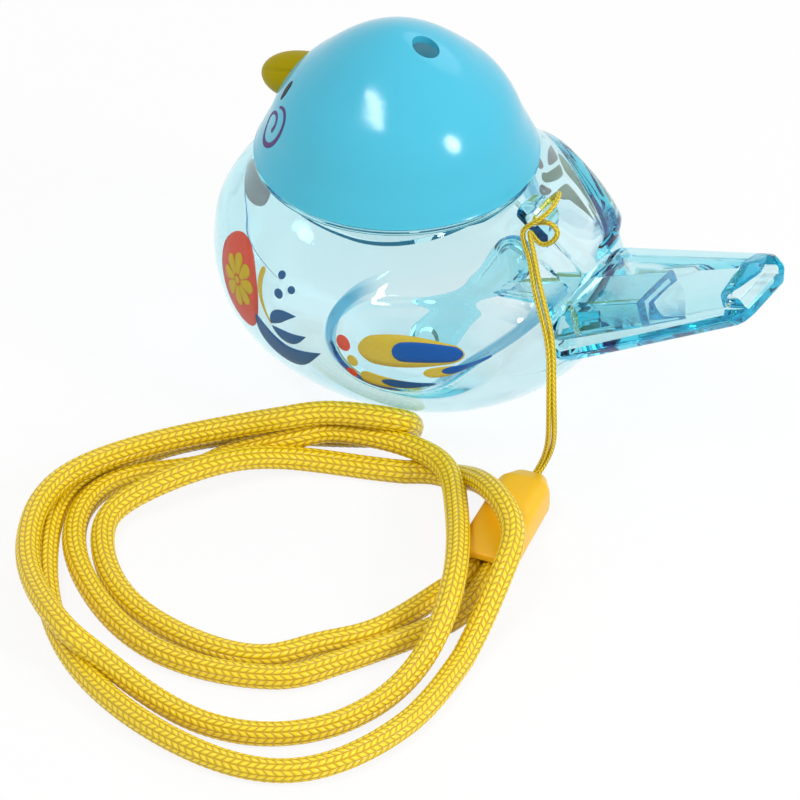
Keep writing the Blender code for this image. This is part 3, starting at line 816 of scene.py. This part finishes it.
def make_body():
    """Both welded halves as one clear shell: belly, wings, neck, lug and blowing tail."""
    shell = round_solid("clear_body", 320, 160, 0.0)
    tail = loft("tail", [tail_section(s) for s in (-4, 0, 8, 16, 24, LIP_START, 31.6, 32.4, TAIL_LENGTH)])
    bevel(tail, 0.35)
    boolean(shell, tail, "UNION")
    # shoulder with a rounded lip under the cap, then the collar that the cap pushes over
    neck = ring_solid("neck", [(21.7, 30), (21.7, 39.3), (22.6, 39.45), (22.8, 39.6), (22.8, 40.0),
                               (22.6, 40.2), (COLLAR_RADIUS, 40.2), (COLLAR_RADIUS, 43.2)])
    boolean(shell, neck, "UNION")
    lug = bar("lug", LUG - Vector((0, LUG_HALF, 0)), LUG + Vector((0, LUG_HALF, 0)), LUG_RADIUS, 64)
    bevel(lug, 0.4)
    boolean(shell, lug, "UNION")
    corners = ((22.4, -LUG_HALF), (28.6, -LUG_HALF), (28.6, LUG_HALF), (22.4, LUG_HALF))
    foot = loft("foot", [[(x, y, z) for x, y in corners] for z in (30.5, 35.6)])
    boolean(shell, foot, "UNION")
    inner = round_solid("inner", 224, 112, WALL)
    bore = ring_solid("bore", [(COLLAR_BORE, 33), (COLLAR_BORE, 45)])
    boolean(inner, bore, "UNION")
    boolean(shell, inner, "DIFFERENCE")
    duct = loft("duct", [tail_section(s, TAIL_WALL) for s in (-3, 0, 12, 20, 29.0)])
    boolean(duct, round_solid("belly", 160, 80, 0.0), "DIFFERENCE")
    boolean(shell, duct, "DIFFERENCE")
    mouth = tail_box("mouth", 28.5, 36, 6.4, -5.15, -1.95)
    bevel(mouth, 0.9, 3)
    boolean(shell, mouth, "DIFFERENCE")
    boolean(shell, windway("throat", 0.0, SEAT_GAP, BLOCK_HALF, WINDWAY[1:], BLOCK_THICK), "DIFFERENCE")
    cord_hole = bar("hole", LUG + Vector((-.1, -4, .2)), LUG + Vector((-.1, 4, .2)), LUG_HOLE, 32)
    boolean(shell, cord_hole, "DIFFERENCE")
    smooth(shell, 32)
    flat_faces(shell)
    # where the material paints shade on the step round a wing
    depth = shell.data.attributes.new("wing_depth", "FLOAT", "POINT")
    weight = shell.data.attributes.new("wing_step_painted_shade", "FLOAT", "POINT")
    for i, v in enumerate(shell.data.vertices):
        depth.data[i].value, weight.data[i].value = wing_step_painted_shade(v.co / MM - Vector((SHIFT, 0, 0)))
    return finish_piece(shell, "clear_body", CLEAR_BODY, "body_left_clear_blue",
                        "body_shell_left", "body_shell_right")


def make_insert():
    """Tube that dips into the water, closed at the top, with the windway block that feeds it."""
    top, end = Vector((20.8, 0, 26.8)), Vector((5.6, 0, 4.5))
    axis = (end - top).normalized()
    side = Vector((0, 1, 0))
    up = axis.cross(side)
    spokes = [side * math.cos(b) + up * math.sin(b) for b in (2 * math.pi * i / 64 for i in range(64))]

    def domed(name, radius, tip, far):
        """Round bar along the tube's axis with a domed tip."""
        rings = []
        for degrees in (3, 12, 24, 36, 48, 60, 75, 90):
            a = math.radians(degrees)
            c = tip - axis * radius * math.cos(a)
            rings.append([c + spoke * radius * math.sin(a) for spoke in spokes])
        rings.append([far + spoke * radius for spoke in spokes])
        return loft(name, rings)

    tube = domed("whistle_tube", TUBE_RADIUS, top, end)
    block = windway("block", 0.0, 0.0, BLOCK_HALF, WINDWAY, BLOCK_THICK)
    bevel(block, 0.25)
    boolean(tube, block, "UNION")
    boolean(tube, domed("bore", TUBE_BORE, top + axis * 0.4, end + axis * 3), "DIFFERENCE")
    boolean(tube, windway("slit", 1.0, 0.0, SLIT_HALF, WINDWAY, SLIT_THICK), "DIFFERENCE")
    # the sounding window, cut through the tube's upper side where the windway ends
    corners = ((-1.7, 22.2), (1.7, 22.2), (1.7, 24.6), (-1.7, 24.6))
    window = loft("window", [[(x, y, z) for y, z in corners] for x in (18.6, 25.5)])
    boolean(tube, window, "DIFFERENCE")
    smooth(tube, 32)
    flat_faces(tube)
    return finish_piece(tube, "whistle_tube", CLEAR_INSERT, "insert_clear_blue", "whistle_insert")


body = make_body()
make_insert()


# Head

FILLING_HOLE = 4.5  # diameter
CAP_WALL = 1.6  # at the rim, thicker towards the crown
cap_radius = spline([0, 2.5, 5, 7.5, 10, 12, 14, 16, 18, 19.6, 21, 22],
                    [23.0, 21.95, 20.75, 19.8, 18.6, 17.3, 15.5, 13.3, 11.0, 8.8, 6.4, 4.2])


def cap_profile():
    """Line of the cap as radius and height, from its crown down to the rim and up again inside."""
    outer = [(0.02, 22.9), (0.8, 22.88), (1.7, 22.75), (2.9, 22.45), (4.2, 22.0)]
    outer += [(cap_radius(z), z) for z in (*range(21, 1, -1), 1.2, 0.7)]
    outer += [(22.95, 0.35), (22.85, 0.12), (22.6, 0.0), (21.6, 0.0), (21.2, 0.12)]
    inner = [(cap_radius(z) - CAP_WALL - 0.02 * z, z) for z in (1, 3, 6, 9, 12, 14, 16, 18, 19.6)]
    inner += [(5.0, 20.4), (3.0, 21.0), (1.2, 21.3), (0.02, 21.35)]
    return [(r, RIM_Z + z) for r, z in outer + inner]


def make_cap():
    """Turquoise dome with the filling hole behind its crown."""
    dome = ring_solid("head_cap_dome", cap_profile(), 160)
    hole = bar("hole", (4.0, 0, RIM_Z + 10), (6.2, 0, RIM_Z + 30), FILLING_HOLE / 2, 64)
    boolean(dome, hole, "DIFFERENCE")
    smooth(dome, 40)
    return finish_piece(dome, "head_cap_dome", CAP_PLASTIC, "cap_turquoise", "head_cap")


def make_beak():
    """Blunt cone of two lips with the parting between them."""
    half_wide, upper, lower, length = 4.1, 3.75, 4.2, 7.7
    parting, parting_depth = 0.62, 0.08  # height as a share of the upper lip, depth as a share of the radius
    root = Vector((-18.6, 0, RIM_Z + 8.3))
    axis = Vector((-1, 0, -0.22)).normalized()
    up = Vector((axis.z, 0, -axis.x))
    rings = []
    for t in (-0.4, 0.02, 0.08, 0.16, 0.25, 0.35, 0.45, 0.55, 0.65, 0.74, 0.82, 0.88, 0.93, 0.97, 0.99, 1.0):
        grow = math.sqrt(max(0.0, 1 - max(t, 0.0) ** 2.3)) + (0.03 if t == 1.0 else 0)
        c = root - axis * 1.5 + axis * length * t
        ring = []
        for i in range(160):
            a = 2 * math.pi * (i + 0.5) / 160
            near = math.exp(-((math.sin(a) - parting) / 0.06) ** 2)
            groove = 1 - parting_depth * near * clamp((0.97 - t) * 5)
            tall = lower if math.sin(a) < 0 else upper
            spoke = Vector((0, half_wide * math.cos(a), 0)) + up * tall * math.sin(a)
            ring.append(c + spoke * grow * groove)
        rings.append(ring)
    beak = loft("beak_cone", rings)
    smooth(beak, 50)
    return finish_piece(beak, "beak_cone", BEAK_PLASTIC, "beak_mustard", "beak")


cap = make_cap()
make_beak()


# Connector

def make_connector():
    """Soft-edged barrel that takes both ends of the neck cord, tapered to the eye of the thin cord."""
    mouth, tip = Vector((41.95, -47.41, 3.5)), Vector((37.93, -23.25, 3.5))
    reach = (tip - mouth).length
    way = (tip - mouth).normalized()
    across = Vector((-way.y, way.x, 0))

    def barrel(name, stations, power=2.8):
        """Solid through flattened rounds, each at t along the way with half width w and half height h."""
        rings = []
        for t, w, h in stations:
            ring = []
            for i in range(72):
                a = 2 * math.pi * (i + 0.5) / 72
                c, s = math.cos(a), math.sin(a)
                ring.append(mouth + way * t + across * w * math.copysign(abs(c) ** (2 / power), c)
                            + Vector((0, 0, h * math.copysign(abs(s) ** (2 / power), s))))
            rings.append(ring)
        return loft(name, rings)

    w, h = 4.6, 3.5  # half width and half height
    shell = barrel("connector_barrel", [
        (0, w - .45, h - .4), (.12, w - .2, h - .15), (.4, w - .03, h - .02), (.9, w, h), (6, w, h),
        (12, w - .1, h), (reach - 3.6, w - .22, h - .02), (reach - 3.1, w - .34, h - .08),
        (reach - 2.7, w - .6, h - .22), (reach - 1.4, w - 1.25, h - .72), (reach - .35, w - 1.75, h - 1.12),
        (reach - .1, w - 1.95, h - 1.28), (reach, w - 2.25, h - 1.5)], 3.6)
    # pocket of the neck cord's ends, then the eye of the thin cord
    boolean(shell, barrel("pocket", [(-2, w - .55, 2.35), (5.2, w - .55, 2.35)]), "DIFFERENCE")
    boolean(shell, bar("eye", tip + way, tip - way * 3.4, 1.25, 32), "DIFFERENCE")
    smooth(shell, 40)
    return finish_piece(shell, "connector_barrel", CONNECTOR_PLASTIC, "connector_amber", "cord_connector")


connector = make_connector()


# Prints

FIRST_INK, NEXT_INK, FILM = 0.05, 0.04, 0.03  # mm over the wall, mm from ink to ink, thickness


class Print:
    """Inks on a surface: each shape is a ribbon with a spine and a width, cast onto the piece under it."""

    def __init__(self, target, prefix):
        self.tree = BVHTree.FromObject(target, bpy.context.evaluated_depsgraph_get())
        self.prefix = prefix
        self.sheets = {}

    def lay(self, colour, spine, width, plane, layer=0, mirror=True, steps=40):
        """spine: points (u, v) in mm; width: half width by share of length; plane: centre, u, v, casting way.

        layer: how many inks lie under this one; mirror: the same shape on the other side too.
        """
        n = len(spine)
        fu = spline(list(range(n)), [p[0] for p in spine])
        fv = spline(list(range(n)), [p[1] for p in spine])
        rows = []
        for i in range(steps + 1):
            # closer together near both round ends
            t = 0.5 - 0.5 * math.cos(math.pi * i / steps)
            a, b = t * (n - 1), min(t * (n - 1) + 0.01, n - 1)
            du, dv = fu(b) - fu(b - 0.01), fv(b) - fv(b - 0.01)
            k = math.hypot(du, dv) or 1.0
            w = max(width(t), 0.0)
            rows.append([(fu(a) - dv / k * w * s, fv(a) + du / k * w * s) for s in (-1, -.6, -.2, .2, .6, 1)])
        for side in ((1, -1) if mirror else (1,)):
            self.cast(colour, rows, plane, FIRST_INK + NEXT_INK * layer, side)

    def cast(self, colour, rows, plane, lift, side):
        """Lays rows of points on the surface, lift above it; a row that misses the piece leaves a break."""
        centre, u_axis, v_axis, way = (Vector(v) for v in plane)
        if colour not in self.sheets:
            self.sheets[colour] = bmesh.new()
        bm = self.sheets[colour]
        grid = []
        for row in rows:
            line = []
            for u, v in row:
                p = centre + u_axis * u + v_axis * v
                start = p - way * 60  # well outside the whistle
                start.y *= side
                hit, normal, *_ = self.tree.ray_cast(at(*start), Vector((way.x, way.y * side, way.z)))
                if hit is None:
                    line = None
                    break
                line.append(bm.verts.new(hit + normal * lift * MM))
            grid.append(line)
        for a, b in zip(grid, grid[1:]):
            if a is None or b is None:
                continue
            for i in range(len(a) - 1):
                face = bm.faces.new((a[i], a[i + 1], b[i + 1], b[i]))
                face.smooth = True

    def done(self, slot):
        """Makes each ink a film of its own, with the undercoat on its inner side."""
        for colour, bm in self.sheets.items():
            bmesh.ops.remove_doubles(bm, verts=bm.verts, dist=0.004 * MM)
            bm.normal_update()
            for face in bm.faces:
                hit, normal, *_ = self.tree.find_nearest(face.calc_center_median())
                if normal is not None and face.normal.dot(normal) < 0:
                    face.normal_flip()
            mesh = bpy.data.meshes.new(colour)
            bm.to_mesh(mesh)
            bm.free()
            obj = bpy.data.objects.new(colour, mesh)
            bpy.context.collection.objects.link(obj)
            finish_piece(obj, self.prefix + colour, INKS[colour], slot)
            obj.data.materials.append(UNDERCOAT)
            mod = obj.modifiers.new("film", "SOLIDIFY")
            mod.thickness = FILM * MM
            mod.offset = -1
            mod.material_offset = 1
            apply_all(obj)


def oval(half):
    """Half widths of an oval, by share of its length."""
    return lambda t: half * math.sqrt(max(0.0, 1 - (2 * t - 1) ** 2))


def leaf(half, peak=0.45):
    """Half widths of a leaf, pointed at both ends and widest at peak."""
    return lambda t: half * math.sin(math.pi * t ** (math.log(0.5) / math.log(peak)))


def rounded_strip(widths, head, tail):
    """Half widths along a strip, with a round end over the shares head and tail of its length."""
    course = spline([i / (len(widths) - 1) for i in range(len(widths))], widths)

    def width(t):
        ends = 1.0
        if t < head:
            ends *= math.sqrt(max(0.0, 1 - (1 - t / head) ** 2))
        if t > 1 - tail:
            ends *= math.sqrt(max(0.0, 1 - (1 - (1 - t) / tail) ** 2))
        return course(t) * ends
    return width


def print_wings():
    """Dots and drops on both raised wings."""
    marks = Print(body, "wing_print_")
    side = ((0, 0, 0), (1, 0, 0), (0, 0, 1), (0, 1, 0))  # cast straight across the whistle
    marks.lay("red", [(7.3, 25.9), (8.7, 23.3)], oval(1.1), side)
    marks.lay("mustard", [(9.1, 22.6), (10.1, 20.7)], oval(0.85), side)
    marks.lay("red", [(8.7, 19.9), (10.0, 18.3)], oval(0.8), side)
    marks.lay("mustard", [(10.5, 24.3), (18, 24.9), (26.2, 24.6)],
              rounded_strip([1.9, 2.6, 2.9, 2.85, 2.5, 1.9, 1.2], 0.16, 0.1), side)
    marks.lay("blue", [(15.9, 24.7), (20, 25.0), (26.0, 24.7)],
              rounded_strip([1.5, 1.75, 1.75, 1.55, 1.1], 0.2, 0.12), side, 1)
    marks.lay("mustard", [(10.8, 19.3), (15, 18.4), (20.4, 18.6)],
              rounded_strip([1.1, 1.2, 1.1, .8, .3], 0.15, 0.1), side)
    marks.lay("navy", [(14.2, 18.6), (18, 18.4), (22.3, 19.0)],
              rounded_strip([.6, .8, .75, .5, .2], 0.2, 0.1), side, 1)
    marks.lay("mustard", [(20.6, 21.0), (23.6, 21.6), (26.4, 22.2)],
              rounded_strip([.9, 1.0, .9, .4], 0.25, 0.1), side)
    marks.lay("blue", [(23.2, 21.6), (26, 22.2), (29.0, 23.2)],
              rounded_strip([.6, .75, .6, .2], 0.25, 0.1), side, 1)
    marks.done("body_left_clear_blue")


def print_chest():
    """A rosette on an oval, three leaves, a stem and berries on both sides of the chest, an oval in front."""
    marks = Print(body, "chest_print_")
    way = Vector((0.61, 0.79, 0)).normalized()
    fore_side = (Vector((-14.8, -25.0, 24.6)), Vector((way.y, -way.x, 0)), Vector((0, 0, 1)), way)
    marks.lay("red", [(-3.1, 7.2), (-1.1, 0), (2.2, -7.4)], oval(6.0), fore_side, steps=64)
    for i in range(8):
        a = math.radians(8 + i * 45)
        c, s = math.cos(a), math.sin(a)
        marks.lay("mustard", [(1.0 * c - .8, 0.9 * s), (2.6 * c - .8, 2.6 * s), (4.4 * c - .8, 4.6 * s)],
                  rounded_strip([.4, .8, 1.15, 1.2], 0.1, 0.3), fore_side, 1, steps=16)
    marks.lay("mustard", [(-1.5, 0), (-.1, 0)], oval(0.7), fore_side, 2, steps=16)
    marks.lay("navy", [(4.4, -3.4), (7.4, -7.4), (11.8, -7.9), (17.0, -4.6)],
              leaf(2.3, 0.42), fore_side, steps=64)
    marks.lay("navy", [(8.2, -3.6), (11.4, -4.3), (14.8, -2.4)], leaf(1.15), fore_side)
    marks.lay("navy", [(8.0, -3.2), (9.8, -.9), (13.0, .6)], leaf(1.1), fore_side)
    marks.lay("mustard", [(4.9, 5.6), (5.5, 1.0), (8.2, -3.5)],
              rounded_strip([.5, .55, .45, .3, .12], .08, .05), fore_side)
    for u, v, r in ((9.2, 3.0, .85), (11.2, 4.6, .65), (8.6, 6.0, .7)):
        marks.lay("navy", [(u - r, v), (u + r, v)], oval(r), fore_side, steps=16)
    front = ((-30, 0, 22.5), (0, -1, 0), (0, 0, 1), (1, 0, 0))
    marks.lay("red", [(-1.0, 6.5), (-4.2, 0), (-7.6, -5.0)], oval(3.4), front, mirror=False)
    marks.done("body_left_clear_blue")


def print_face():
    """Oval eyes beside the beak and a spiral on each cheek."""
    marks = Print(cap, "face_print_")
    way = Vector((0.86, 0.51, 0)).normalized()
    cheek = (Vector((-18.0, -9.0, RIM_Z)), Vector((way.y, -way.x, 0)), Vector((0, 0, 1)), way)
    marks.lay("black", [(0.7, 12.8), (1.6, 11.6), (2.1, 10.2)], oval(0.75), cheek)
    curl = [(3.5, 9.7), (4.9, 10.3), (6.5, 10.1), (7.7, 8.9), (7.9, 6.9), (6.9, 4.8), (5.1, 3.8), (3.2, 3.9),
            (1.7, 5.1), (1.5, 6.7), (2.6, 8.1), (4.1, 8.6), (5.2, 8.1), (5.4, 7.1), (5.0, 6.1)]
    stroke = rounded_strip([.22, .26, .34, .44, .34, .26, .28, .32, .42], 0.02, 0.02)
    marks.lay("plum", curl, stroke, cheek, steps=160)
    marks.done("cap_turquoise")


print_wings()
print_chest()
print_face()
